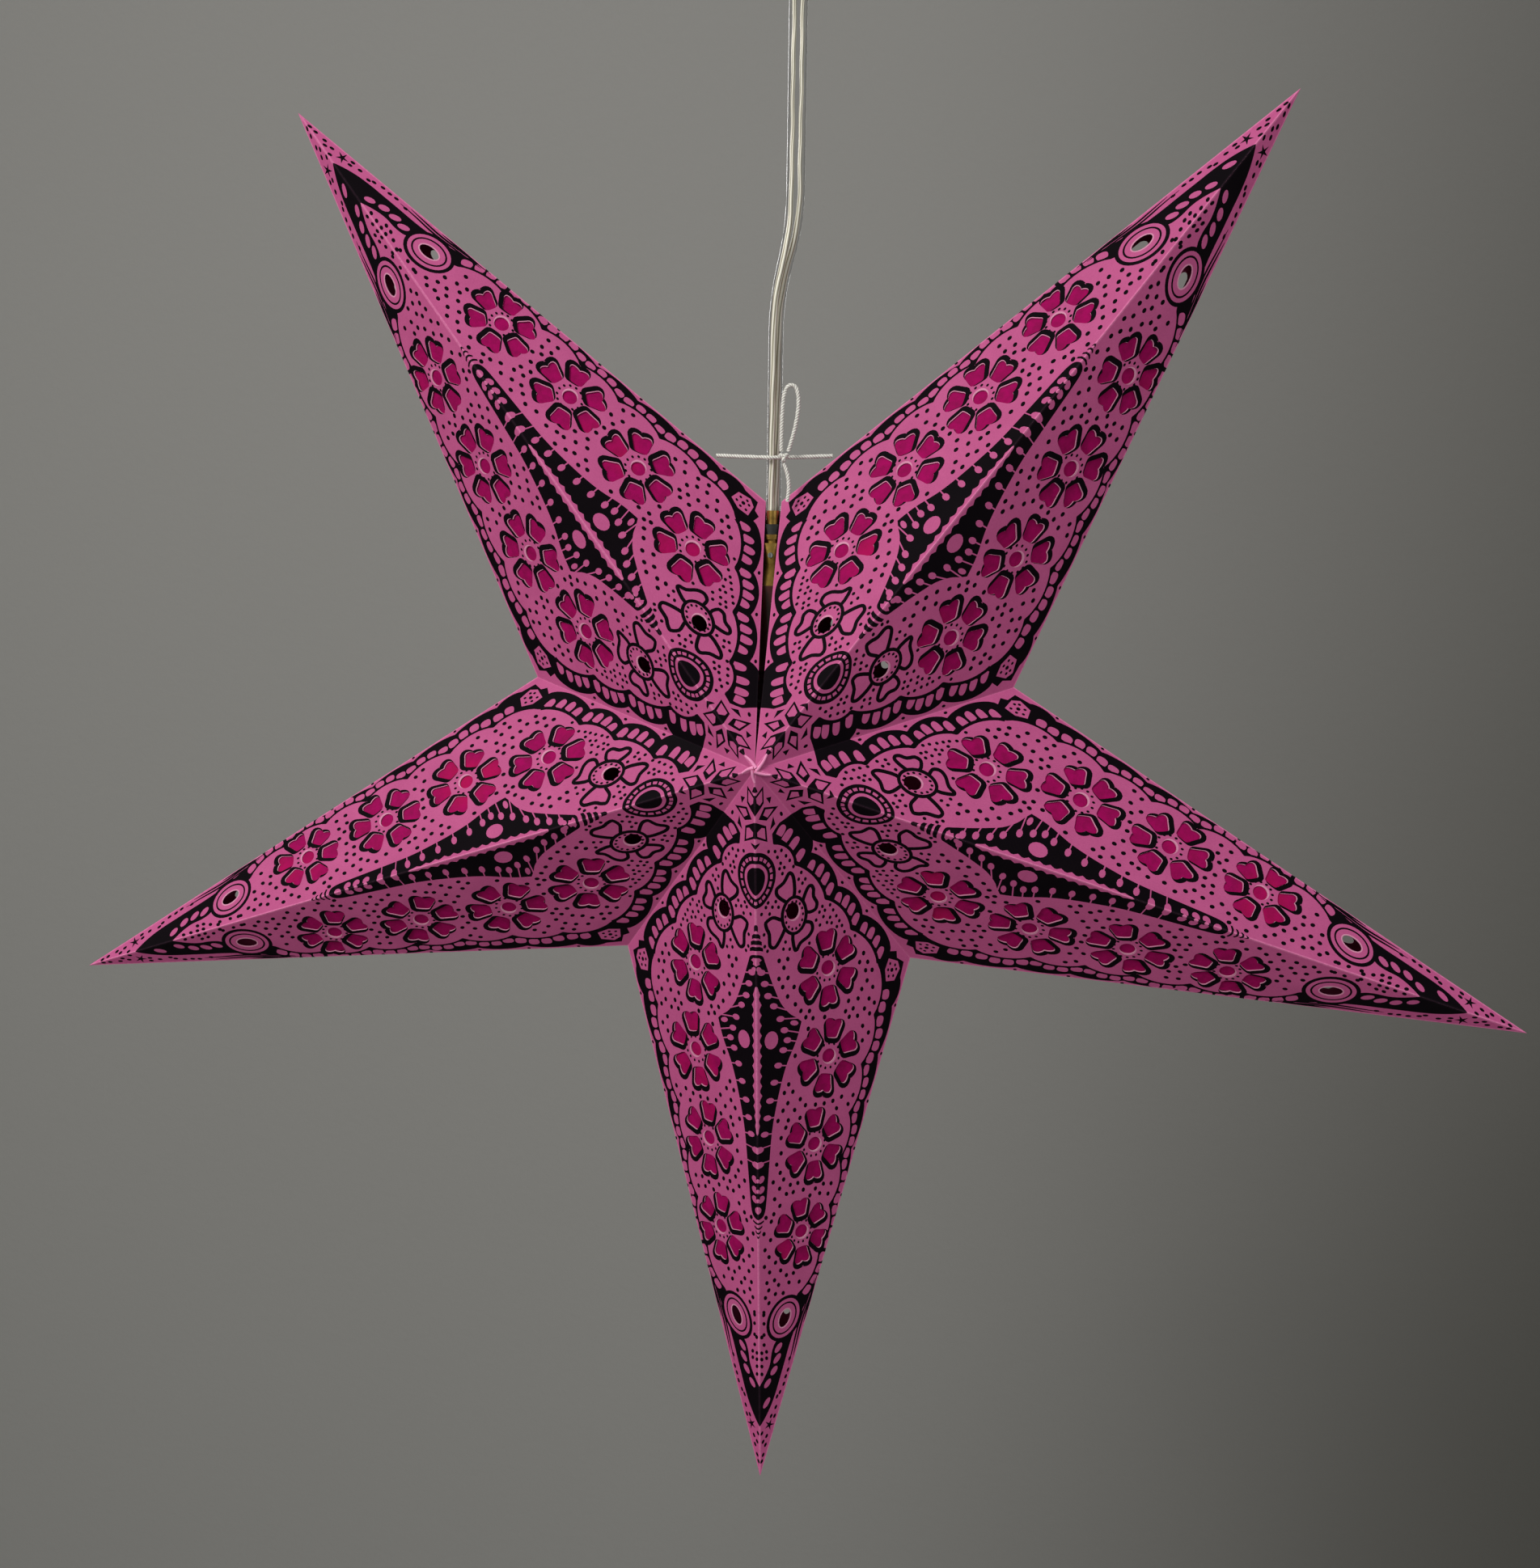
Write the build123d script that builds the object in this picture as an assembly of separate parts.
from build123d import *
import os
from math import acos, asin, atan, cos, degrees, radians, sin, sqrt, tan

# Paper star lantern on its pendant kit, in millimetres.
# The origin is the middle of the ceiling rose's ceiling face. +Z is up and the star's front looks along -Y.

# Star
tip_radius = 315.0
valley_radius = 100.5
half_depth = 49.0
slit_width = 6.3
paper = 0.3
crease_clearance = 0.1
star_drop = 362.0
star_side = -6.8

# Tissue and glue flaps
tissue = 0.12
tissue_side_margin = 4.0
tissue_start_share = 0.1944864
tissue_end_share = 0.6963868
flap_width = 8.0
flap_end_gap = 2.0

# Cut-outs of one panel: along and long are shares of the ridge's length, off and wide of the panel's width there
flower_along_shares = (0.267262, 0.3886591, 0.5094289, 0.6333356)
flower_off_shares = (0.4645005, 0.5426543, 0.5409968, 0.5572231)
flower_long_shares = (0.0511311, 0.0511311, 0.0511311, 0.0479942)
flower_wide_shares = (0.1870067, 0.2205071, 0.2662048, 0.3331849)
flower_turn = (4.0, -12.0, -1.0, 3.0)
petal_count = 6
petal_inner_share = 0.45
petal_waist_share = 0.86
petal_notch_share = 0.93
petal_root_angle = 16.0
petal_half_angle = 24.0
petal_lobe_angle = 13.0
flower_middle_radius = 3.1
open_middle_along_share = 0.1835073
open_middle_off_share = 0.3360552
open_middle_radius = 3.3
eye_along_share = 0.7591244
eye_off_share = 0.5159235
eye_long_share = 0.0138023
eye_wide_share = 0.1049336

# Cable
cable_width = 7.0
cable_thickness = 3.6
cable_straight_end = 205.0
cable_bend_end = 178.0
cable_run_in = 20.0
bend_share = 0.45

# Lampholder: heights above the star's middle
cord_gap = 0.2
sleeve_top = 96.7
sleeve_wall = 0.5
nut_top = 91.4
nut_radius = 4.6
cap_top = 87.4
cap_ring_radius = 5.6
cap_ring_height = 1.9
cap_groove_radius = 4.9
cap_groove_height = 1.5
cap_neck_radius = 7.8
cap_neck_height = 8.4
cap_skirt_radius = 13.4
cap_skirt_height = 8.1
cap_wall = 0.9
grub_radius = 1.1
grub_length = 2.6
grub_height = 79.3
body_radius = 13.7
body_wall = 2.2
body_bottom = 33.0
body_round = 1.5
body_lip_height = 3.0
body_lip_radius = 14.5
core_thickness = 6.0
core_gap = 0.3
shell_radius = 8.0
shell_wall = 0.5
shell_length = 22.0
contact_width = 5.0
contact_length = 11.0
contact_thickness = 0.5
terminal_screw_radius = 1.7
terminal_screw_head = 2.6
terminal_screw_head_height = 1.6
terminal_screw_spread = 7.6
terminal_screw_depth = 4.0

# Bulb
bulb_cap_radius = 6.85
bulb_cap_length = 20.0
bulb_cap_wall = 0.35
thread_pitch = 2.82
thread_depth = 0.5
foot_length = 2.6
foot_top_radius = 3.6
foot_contact_radius = 2.3
foot_contact_height = 1.0
foot_gap = 0.25
bulb_length = 78.0
glass_radius = 22.5
glass_shoulder_radius = 14.0
glass_wall = 0.7
stem_radius = 2.6
stem_height = 12.0
lead_radius = 0.35
lead_spread = 6.5
lead_height = 15.0
filament_radius = 0.5
filament_drop = 3.0

# Tie string
string_radius = 0.75
string_height = 117.0
string_edge_gap = 0.35
knot_radius = 2.1
knot_side = 4.5
bow_rise = 27.0
bow_spread = 3.0
bow_tip_spread = 5.5
tail_drop = 17.0
tail_side = 3.2

# Ceiling rose
rose_radius = 38.0
rose_height = 28.0
rose_wall = 1.8
rose_base_radius = 35.8
rose_base_thickness = 3.0
rose_rim_height = 5.0
rose_rim_wall = 1.6
rose_gap = 0.3
rose_edge_round = 6.0
mount_spacing = 50.8
mount_hole_radius = 2.3
entry_radius = 5.0
entry_off = 14.0
block_length = 24.0
block_width = 13.0
block_height = 11.0
block_pitch = 9.0
block_bore_radius = 1.7
block_screw_radius = 1.6
block_screw_depth = 3.0
grip_radius = 7.0
grip_tip_radius = 5.2
grip_height = 12.0
grip_bore_gap = 0.3
grip_flange_radius = 9.0
grip_flange_height = 1.5
grip_screw_radius = 1.2
grip_screw_length = 2.6

# One overrun serves every cut
overrun = 1.0

# A solid that hangs from its own origin, and one that stands on it
hanging = (Align.CENTER, Align.CENTER, Align.MAX)
standing = (Align.CENTER, Align.CENTER, Align.MIN)

os.makedirs("parts", exist_ok=True)
parts = {}

# Star geometry: the slit takes its angle first, and ten equal half points share the rest of the turn
slit_angle = degrees(2 * asin(slit_width / 2 / valley_radius))
point_names = ("bottom", "right", "upper_right", "left", "upper_left")
point_steps = (0, 1, 2, -1, -2)
half_angle = (360 - slit_angle) / (2 * len(point_names))
star_middle = Vector(star_side, 0, -star_drop)


def polar(radius, angle):
    """Point of the star's mid-plane at a radius and an angle in degrees, counted from +X towards +Z."""
    return star_middle + Vector(radius * cos(radians(angle)), 0, radius * sin(radians(angle)))


def point_angle(step):
    """Direction of a point, where step counts the points away from the bottom one."""
    return -90 + 2 * half_angle * step


def hub(face):
    """Middle of the star's front (face -1) or back (face 1)."""
    return star_middle + Vector(0, face * half_depth, 0)


def inset(corners, gaps):
    """Corners of a triangle whose sides are moved inwards, each by its own gap."""
    lines = []
    for i, gap in enumerate(gaps):
        start = corners[i]
        end = corners[(i + 1) % 3]
        third = corners[(i + 2) % 3]
        run = (end - start).normalized()
        inward = Vector(-run.Y, run.X, 0)
        if inward.dot(third - start) < 0:
            inward = -inward
        lines.append((start + inward * gap, run))
    moved = []
    for i in range(3):
        (p, u), (q, v) = lines[i - 1], lines[i]
        turn = u.X * v.Y - u.Y * v.X
        along = ((q.X - p.X) * v.Y - (q.Y - p.Y) * v.X) / turn
        moved.append(p + u * along)
    return moved


def panel_plane(step, side, face):
    """Plane of a panel: X runs up the ridge from the hub, and Y points to the panel's own valley."""
    start = hub(face)
    ridge = (polar(tip_radius, point_angle(step)) - start).normalized()
    to_valley = polar(valley_radius, point_angle(step) + side * half_angle) - start
    return Plane(origin=start, x_dir=ridge, z_dir=ridge.cross(to_valley))


# Every panel has the same outline in its own plane, so one panel gives the sizes of all
sample_plane = panel_plane(0, 1, -1)
ridge_length = (polar(tip_radius, point_angle(0)) - hub(-1)).length
valley_point = sample_plane.to_local_coords(polar(valley_radius, point_angle(0) + half_angle))
valley_along = valley_point.X
valley_off = valley_point.Y
outer_slope = valley_off / (ridge_length - valley_along)
edge_length = sqrt(valley_off ** 2 + (ridge_length - valley_along) ** 2)

# Half of the inside angle along the ridge, and the slope of a panel on the star's mid-plane
mirror_plane = panel_plane(0, -1, -1)
ridge_half_turn = acos(abs(sample_plane.z_dir.dot(mirror_plane.z_dir))) / 2
edge_slope = acos(abs(sample_plane.z_dir.Y))

# A square-cut sheet needs this much room at a crease
ridge_gap = paper * tan(ridge_half_turn) + crease_clearance
edge_gap = paper / tan(edge_slope) + crease_clearance
seam_gap = crease_clearance


def petal(centre, half_long, half_wide, angle):
    """One petal of a flower: blunt at its root, heart-shaped at its end, flat in the panel's plane."""

    def at(share, turn):
        bearing = radians(angle + turn)
        return Vector(
            centre.X + half_long * share * cos(bearing),
            centre.Y + half_wide * share * sin(bearing),
            0,
        )

    left_root = at(petal_inner_share, petal_root_angle)
    right_root = at(petal_inner_share, -petal_root_angle)
    left = at(petal_waist_share, petal_half_angle)
    right = at(petal_waist_share, -petal_half_angle)
    notch = at(petal_notch_share, 0)
    outline = Wire([
        Line(left_root, left).edge(),
        ThreePointArc(left, at(1, petal_lobe_angle), notch).edge(),
        ThreePointArc(notch, at(1, -petal_lobe_angle), right).edge(),
        Line(right, right_root).edge(),
        Line(right_root, left_root).edge(),
    ])
    return Face(outline)


def panel_width(along):
    """Width of a panel off its ridge, at a place along it."""
    return min(along * valley_off / valley_along, (ridge_length - along) * outer_slope)


def panel_place(along_share, off_share):
    """Point of a panel's plane from its shares of the ridge's length and of the panel's width there."""
    along = along_share * ridge_length
    return Vector(along, off_share * panel_width(along), 0)


def panel_cuts():
    """Faces of all that is cut out of one panel."""
    cuts = []
    flowers = zip(flower_along_shares, flower_off_shares, flower_long_shares, flower_wide_shares, flower_turn)
    for along_share, off_share, long_share, wide_share, turn in flowers:
        centre = panel_place(along_share, off_share)
        half_long = long_share * ridge_length
        half_wide = wide_share * panel_width(centre.X)
        for i in range(petal_count):
            cuts.append(petal(centre, half_long, half_wide, turn + i * 360 / petal_count))
        cuts.append(Pos(centre) * Circle(flower_middle_radius))
    cuts.append(Pos(panel_place(open_middle_along_share, open_middle_off_share)) * Circle(open_middle_radius))
    eye = panel_place(eye_along_share, eye_off_share)
    eye_tilt = -degrees(atan(outer_slope))
    eye_shape = Ellipse(eye_long_share * ridge_length, eye_wide_share * panel_width(eye.X))
    cuts.append(Pos(eye) * Rot(0, 0, eye_tilt) * eye_shape)
    return cuts


def panel_outline():
    """Outline of a panel with its crease gaps taken off."""
    corners = [Vector(0, 0, 0), Vector(ridge_length, 0, 0), Vector(valley_along, valley_off, 0)]
    return Polyline(*inset(corners, (ridge_gap, edge_gap, seam_gap)), close=True)


def tissue_outline():
    """Outline of the tissue strip: it keeps its margin from the ridge and from the outer edge."""
    def outer(along):
        return (ridge_length - along) * outer_slope - tissue_side_margin * 2

    tissue_start = tissue_start_share * ridge_length
    tissue_end = tissue_end_share * ridge_length
    first_off = valley_off / valley_along * tissue_start - tissue_side_margin * 2
    bend = valley_along
    return Polyline(
        (tissue_start, tissue_side_margin),
        (tissue_end, tissue_side_margin),
        (tissue_end, outer(tissue_end)),
        (bend, outer(bend)),
        (tissue_start, first_off),
        close=True,
    )


def build_star():
    """Twenty panels with their tissue, and the ten glue flaps inside the outer edges."""
    sheet = make_face(panel_outline()) - panel_cuts()
    backing = make_face(tissue_outline())
    side_names = {1: "a", -1: "b"}
    for name, step in zip(point_names, point_steps):
        for side in (1, -1):
            for face, face_name in ((-1, "front"), (1, "back")):
                plane = panel_plane(step, side, face)
                inward = -face * (1 if plane.z_dir.Y > 0 else -1)
                shell = extrude(plane * sheet, amount=inward * paper, dir=plane.z_dir)
                behind = plane.offset(inward * paper)
                lining = extrude(behind * backing, amount=inward * tissue, dir=plane.z_dir)
                node = f"{name}_{face_name}_panel_{side_names[side]}"
                parts[node] = Compound([shell.solid(), lining.solid()])
            parts[f"{name}_glue_flap_{side_names[side]}"] = glue_flap(step, side)


def glue_flap(step, side):
    """Strip on the star's mid-plane, just inside an outer edge, tapered where the point narrows."""
    valley = polar(valley_radius, point_angle(step) + side * half_angle)
    tip = polar(tip_radius, point_angle(step))
    run = (valley - tip).normalized()
    inward = run.cross(Vector(0, 1, 0))
    if inward.dot(star_middle - tip) < 0:
        inward = -inward
    tip_half = acos(run.dot((star_middle - tip).normalized()))
    near = (paper / 2 + crease_clearance + paper / cos(edge_slope)) / tan(edge_slope)
    far = near + flap_width
    ends = [(depth + paper) / tan(tip_half) for depth in (near, far)]
    corners = [
        tip + run * ends[0] + inward * near,
        tip + run * ends[1] + inward * far,
        tip + run * (edge_length - flap_end_gap) + inward * far,
        tip + run * (edge_length - flap_end_gap) + inward * near,
    ]
    face = make_face(Polyline(*corners, close=True))
    return extrude(face, amount=paper / 2, dir=(0, 1, 0), both=True)


def on_axis(height):
    """Point on the lampholder's axis, at a height above the star's middle."""
    return Vector(star_side, 0, height - star_drop)


def turned(points):
    """Solid of revolution about the lampholder's axis, from (radius, height) points."""
    profile = make_face(Polyline(*[(radius, 0, height) for radius, height in points], close=True))
    return Pos(on_axis(0)) * revolve(profile, Axis.Z)


def tube(bottom, top, outer, inner):
    """Plain ring or tube on the lampholder's axis."""
    return turned([(inner, bottom), (outer, bottom), (outer, top), (inner, top)])


def build_lampholder():
    """Cord sleeve, grip nut, brass cap, body and what the body holds."""
    bore = cable_width / 2 + cord_gap
    ring_bottom = cap_top - cap_ring_height
    groove_bottom = ring_bottom - cap_groove_height
    neck_bottom = groove_bottom - cap_neck_height
    skirt_bottom = neck_bottom - cap_skirt_height
    sleeve = cable_section(cord_gap + sleeve_wall) - cable_section(cord_gap)
    parts["cord_sleeve"] = extrude(Pos(on_axis(nut_top)) * sleeve, amount=sleeve_top - nut_top, dir=(0, 0, 1))
    parts["cord_grip_nut"] = tube(cap_top, nut_top, nut_radius, bore)
    cap = turned([
        (bore, cap_top),
        (cap_ring_radius, cap_top),
        (cap_ring_radius, ring_bottom),
        (cap_groove_radius, ring_bottom),
        (cap_groove_radius, groove_bottom),
        (cap_neck_radius, groove_bottom),
        (cap_neck_radius, neck_bottom),
        (cap_skirt_radius, skirt_bottom),
        (cap_skirt_radius - cap_wall, skirt_bottom),
        (cap_neck_radius - cap_wall, neck_bottom),
        (cap_neck_radius - cap_wall, groove_bottom - cap_wall),
        (bore, groove_bottom - cap_wall),
    ])
    grub_axis = Pos(star_side, -cap_neck_radius, grub_height - star_drop) * Rot(90, 0, 0)
    parts["lampholder_cap"] = cap - grub_axis * Cylinder(grub_radius, 2 * (cap_wall + overrun))
    screw = grub_axis * Cylinder(grub_radius - crease_clearance, grub_length)
    slot = grub_axis * Pos(0, 0, grub_length / 2) * Box(grub_radius / 2, 2 * grub_radius, grub_radius)
    parts["cord_grub_screw"] = screw - slot

    body_top = skirt_bottom
    shell = turned([
        (body_radius - body_wall, body_top),
        (cap_skirt_radius, body_top),
        (body_radius, body_top - (body_radius - cap_skirt_radius)),
        (body_radius, body_bottom + body_lip_height),
        (body_lip_radius, body_bottom + body_lip_height),
        (body_lip_radius, body_bottom + body_round),
        (body_lip_radius - body_round, body_bottom),
        (body_radius - body_wall, body_bottom),
    ])
    parts["lampholder_body"] = shell
    core_radius = body_radius - body_wall
    core_top = body_top - core_gap
    core_bottom = core_top - core_thickness
    core = tube(core_bottom, core_top, core_radius, 0)
    screws = []
    heads = []
    for side in (1, -1):
        place = Pos(on_axis(core_top) + Vector(side * terminal_screw_spread, 0, 0))
        seat = Cylinder(terminal_screw_radius, terminal_screw_depth, align=hanging)
        head = Cylinder(terminal_screw_head, terminal_screw_head_height, align=standing)
        cross_slot = Pos(0, 0, terminal_screw_head_height) * Box(
            terminal_screw_radius / 2, 2 * terminal_screw_head, terminal_screw_head_height
        )
        screws.append(place * seat)
        heads.append(place * (seat + head - cross_slot))
    parts["holder_core"] = core - screws
    parts["terminal_screws"] = Compound([h.solid() for h in heads])
    shell_bottom = core_bottom - shell_length
    parts["threaded_shell"] = tube(shell_bottom, core_bottom, shell_radius, shell_radius - shell_wall)
    strip = Box(contact_length, contact_width, contact_thickness, align=hanging)
    parts["centre_contact"] = Pos(on_axis(core_bottom)) * strip
    return core_top, core_bottom - contact_thickness


def build_bulb(contact_bottom):
    """Bulb, screwed home: its foot contact lies just under the holder's contact strip."""
    foot_top = contact_bottom - foot_gap
    insulator_top = foot_top - foot_contact_height
    cap_end = insulator_top - foot_length
    cap_bottom = cap_end - bulb_cap_length
    parts["bulb_foot_contact"] = tube(insulator_top, foot_top, foot_contact_radius, 0)
    parts["bulb_foot_insulator"] = turned([
        (0, insulator_top),
        (foot_top_radius, insulator_top),
        (bulb_cap_radius - thread_depth, cap_end),
        (0, cap_end),
    ])
    valley_side = bulb_cap_radius - thread_depth
    inner_side = valley_side - bulb_cap_wall
    outline = [(inner_side, cap_end), (valley_side, cap_end)]
    turns = int((bulb_cap_length - thread_pitch) / thread_pitch)
    for i in range(turns):
        crest = cap_end - (i + 0.5) * thread_pitch
        outline.append((bulb_cap_radius, crest))
        outline.append((valley_side, crest - thread_pitch / 2))
    outline.append((bulb_cap_radius, cap_bottom))
    outline.append((inner_side, cap_bottom))
    parts["bulb_cap"] = turned(outline)

    glass_top = cap_end - foot_length
    ball_middle = foot_top - bulb_length + glass_radius
    neck_radius = inner_side - crease_clearance

    def bulb_form(offset):
        """The glass's outline turned about the bulb's axis, with its surface moved in by an offset."""
        radius = glass_radius - offset
        neck = neck_radius - offset
        shoulder = glass_shoulder_radius * radius / glass_radius
        rise = sqrt(radius ** 2 - shoulder ** 2)
        shoulder_height = ball_middle + rise
        neck_height = shoulder_height + (shoulder - neck) * shoulder / rise
        top = glass_top - offset
        profile = Wire([
            Line((0, 0, top), (neck, 0, top)).edge(),
            Line((neck, 0, top), (neck, 0, neck_height)).edge(),
            Line((neck, 0, neck_height), (shoulder, 0, shoulder_height)).edge(),
            ThreePointArc(
                (shoulder, 0, shoulder_height), (radius, 0, ball_middle), (0, 0, ball_middle - radius)
            ).edge(),
            Line((0, 0, ball_middle - radius), (0, 0, top)).edge(),
        ])
        return Pos(on_axis(0)) * revolve(Face(profile), Axis.Z)

    parts["bulb_glass"] = bulb_form(0) - bulb_form(glass_wall)
    stem_top = glass_top - glass_wall
    stem_bottom = stem_top - bulb_cap_length - stem_height
    parts["bulb_stem"] = tube(stem_bottom, stem_top, stem_radius, 0)
    leads = []
    arm_bottom = stem_bottom - lead_height / 2
    for side in (1, -1):
        start = on_axis(stem_bottom - lead_radius) + Vector(side * (stem_radius - 2 * lead_radius), 0, 0)
        end = on_axis(arm_bottom) + Vector(side * lead_spread, 0, 0)
        leads.append(rod(start, end, lead_radius))
    parts["bulb_lead_wires"] = Compound(leads)
    low = arm_bottom - filament_drop
    middle = on_axis(low)
    left = on_axis(arm_bottom - 2 * filament_radius) - Vector(lead_spread, 0, 0)
    right = on_axis(arm_bottom - 2 * filament_radius) + Vector(lead_spread, 0, 0)
    path = ThreePointArc(left, middle, right)
    section = Plane(origin=left, z_dir=path % 0) * Circle(filament_radius)
    parts["bulb_filament"] = sweep(section, path=path)


def rod(start, end, radius):
    """Round rod between two points."""
    plane = Plane(origin=start, z_dir=end - start)
    return extrude(plane * Circle(radius), amount=(end - start).length, dir=plane.z_dir).solid()


def cable_section(gap):
    """Flat section of the twin cable, edge-on to the front, with a gap all round."""
    return Rot(0, 0, 90) * SlotOverall(cable_width + 2 * gap, cable_thickness + 2 * gap)


def string_section():
    """Round section of the tie string."""
    return Circle(string_radius)


def cord(points, outline):
    """Cord along straight runs joined by tangent arcs, each as large as its two runs allow."""
    corners = [Vector(*p) for p in points]
    radii = []
    for before, here, after in zip(corners, corners[1:], corners[2:]):
        first = here - before
        second = after - here
        turn = radians(first.get_angle(second))
        radii.append(bend_share * min(first.length, second.length) / tan(turn / 2))
    path = FilletPolyline(*corners, radius=radii)
    facing = Vector(0, 1, 0) - (path % 0) * (path % 0).Y
    section = Plane(origin=corners[0], x_dir=-(facing.cross(path % 0)), z_dir=path % 0) * outline
    solid = sweep(section, path=path)
    share = solid.volume / (outline.area * path.length)
    rounded = [round(radius, 1) for radius in radii]
    print("cord length %.1f mm, radii %s, volume share %.4f" % (path.length, rounded, share))
    return solid.solid()


def build_cable(bottom):
    """Cable from the rose straight down, over to the star's axis and down into the lampholder."""
    rose_end = -cable_run_in
    points = [
        (0, 0, rose_end),
        (0, 0, cable_straight_end - star_drop),
        (star_side, 0, cable_bend_end - star_drop),
        (star_side, 0, bottom - star_drop),
    ]
    parts["cable"] = cord(points, cable_section(0))


def build_tie():
    """String across the slit, in front of the cable, with its knot, its bow and its tails."""
    front = -(cable_width / 2 + string_radius + crease_clearance)
    ends = []
    for step, side in ((-2, -1), (2, 1)):
        valley = polar(valley_radius, point_angle(step) + side * half_angle)
        tip = polar(tip_radius, point_angle(step))
        share = (string_height - star_drop - valley.Z) / (tip.Z - valley.Z)
        ends.append(valley + (tip - valley) * share)
    left, right = sorted(ends, key=lambda end: end.X)
    gap = string_radius + string_edge_gap
    left += Vector(gap, 0, gap)
    right += Vector(-gap, 0, gap)
    knot = Vector(star_side, front, string_height - star_drop)
    reach = cable_width / 2 + string_radius
    parts["tie_string"] = cord(
        [
            left,
            knot + Vector(-reach, 0, 0),
            knot + Vector(reach, 0, 0),
            right,
        ],
        string_section(),
    )
    ball = Pos(knot + Vector(knot_side, -knot_radius - string_radius, 0)) * Sphere(knot_radius)
    parts["tie_knot"] = ball
    knot_middle = knot + Vector(knot_side, -knot_radius - string_radius, 0)
    loop_front = Vector(0, -string_radius, 0)
    start = knot_middle + Vector(-bow_spread / 3, 0, knot_radius)
    parts["tie_bow"] = cord(
        [
            start,
            knot_middle + Vector(-bow_spread / 3, 0, bow_rise / 2) + loop_front,
            knot_middle + Vector(0, 0, bow_rise) + loop_front,
            knot_middle + Vector(bow_tip_spread, 0, bow_rise) + loop_front,
            knot_middle + Vector(bow_tip_spread, 0, bow_rise / 2) + loop_front,
            knot_middle + Vector(bow_spread / 3 + string_radius, 0, knot_radius),
        ],
        string_section(),
    )
    parts["tie_tail"] = cord(
        [
            knot_middle + Vector(0, 0, -knot_radius - string_radius / 2),
            knot_middle + Vector(tail_side, 0, -tail_drop / 2),
            knot_middle + Vector(tail_side / 2, 0, -tail_drop),
        ],
        string_section(),
    )


def build_rose():
    """Ceiling rose: base plate with two screw holes, terminal block, cover, cord grip and screws."""
    base = Cylinder(rose_base_radius, rose_base_thickness, align=hanging)
    rim = Cylinder(rose_base_radius, rose_rim_height, align=hanging)
    rim -= Cylinder(rose_base_radius - rose_rim_wall, rose_rim_height, align=hanging)
    rim = Pos(0, 0, -rose_base_thickness) * rim
    holes = [
        Pos(side * mount_spacing / 2, 0, 0) * Cylinder(mount_hole_radius, 2 * (rose_base_thickness + overrun))
        for side in (1, -1)
    ]
    entry = Pos(0, entry_off, 0) * Cylinder(entry_radius, 2 * (rose_base_thickness + overrun))
    parts["rose_base"] = base + rim - holes - entry

    block_top = -rose_base_thickness
    block_middle = Pos(0, 0, block_top - block_height / 2)
    block = block_middle * Box(block_length, block_width, block_height)
    screws = []
    for i in (-0.5, 0.5):
        place = block_middle * Pos(i * block_pitch, 0, 0)
        block -= place * Rot(90, 0, 0) * Cylinder(block_bore_radius, block_width + 2 * overrun)
        top = Pos(i * block_pitch, 0, block_top - block_height)
        well = Cylinder(block_screw_radius + crease_clearance, block_height / 2, align=standing)
        block -= top * well
        screw = Cylinder(block_screw_radius, block_screw_depth, align=standing)
        groove = Box(block_screw_radius / 2, 2 * block_screw_radius, block_screw_radius)
        screws.append((top * (screw - groove)).solid())
    parts["terminal_block"] = block
    parts["terminal_block_screws"] = Compound(screws)

    def disc(radius, top, bottom):
        return Pos(0, 0, top) * Cylinder(radius, top - bottom, align=hanging)

    bore = cable_width / 2 + grip_bore_gap
    cover = disc(rose_radius, -rose_gap, -rose_height)
    cover = fillet(cover.edges().group_by(Axis.Z)[0], rose_edge_round)
    cover -= disc(rose_radius - rose_wall, -rose_gap, -rose_height + rose_wall)
    cover -= disc(bore, -rose_gap, -rose_height - overrun)
    parts["rose_cover"] = cover
    flange_bottom = -rose_height - grip_flange_height
    grip_bottom = flange_bottom - grip_height
    profile = [
        (bore, -rose_height),
        (grip_flange_radius, -rose_height),
        (grip_flange_radius, flange_bottom),
        (grip_radius, flange_bottom),
        (grip_tip_radius, grip_bottom),
        (bore, grip_bottom),
    ]
    grip = revolve(make_face(Polyline(*[(r, 0, z) for r, z in profile], close=True)), Axis.Z)
    screw_height = flange_bottom - grip_height / 3
    screw_place = Pos(0, -(bore + grip_screw_length / 2 + crease_clearance), screw_height) * Rot(90, 0, 0)
    screw_hole = screw_place * Cylinder(grip_screw_radius, grip_screw_length + 2 * overrun)
    parts["rose_cord_grip"] = grip - screw_hole
    grip_screw = screw_place * Cylinder(grip_screw_radius - crease_clearance / 2, grip_screw_length)
    parts["rose_grip_screw"] = grip_screw
    return block_top - block_height


build_star()
core_top, contact_bottom = build_lampholder()
build_bulb(contact_bottom)
build_cable(core_top)
build_tie()
build_rose()

for name, shape in parts.items():
    export_step(shape, f"parts/{name}.step")
print(len(parts), "nodes; half angle of a point", round(half_angle, 3))
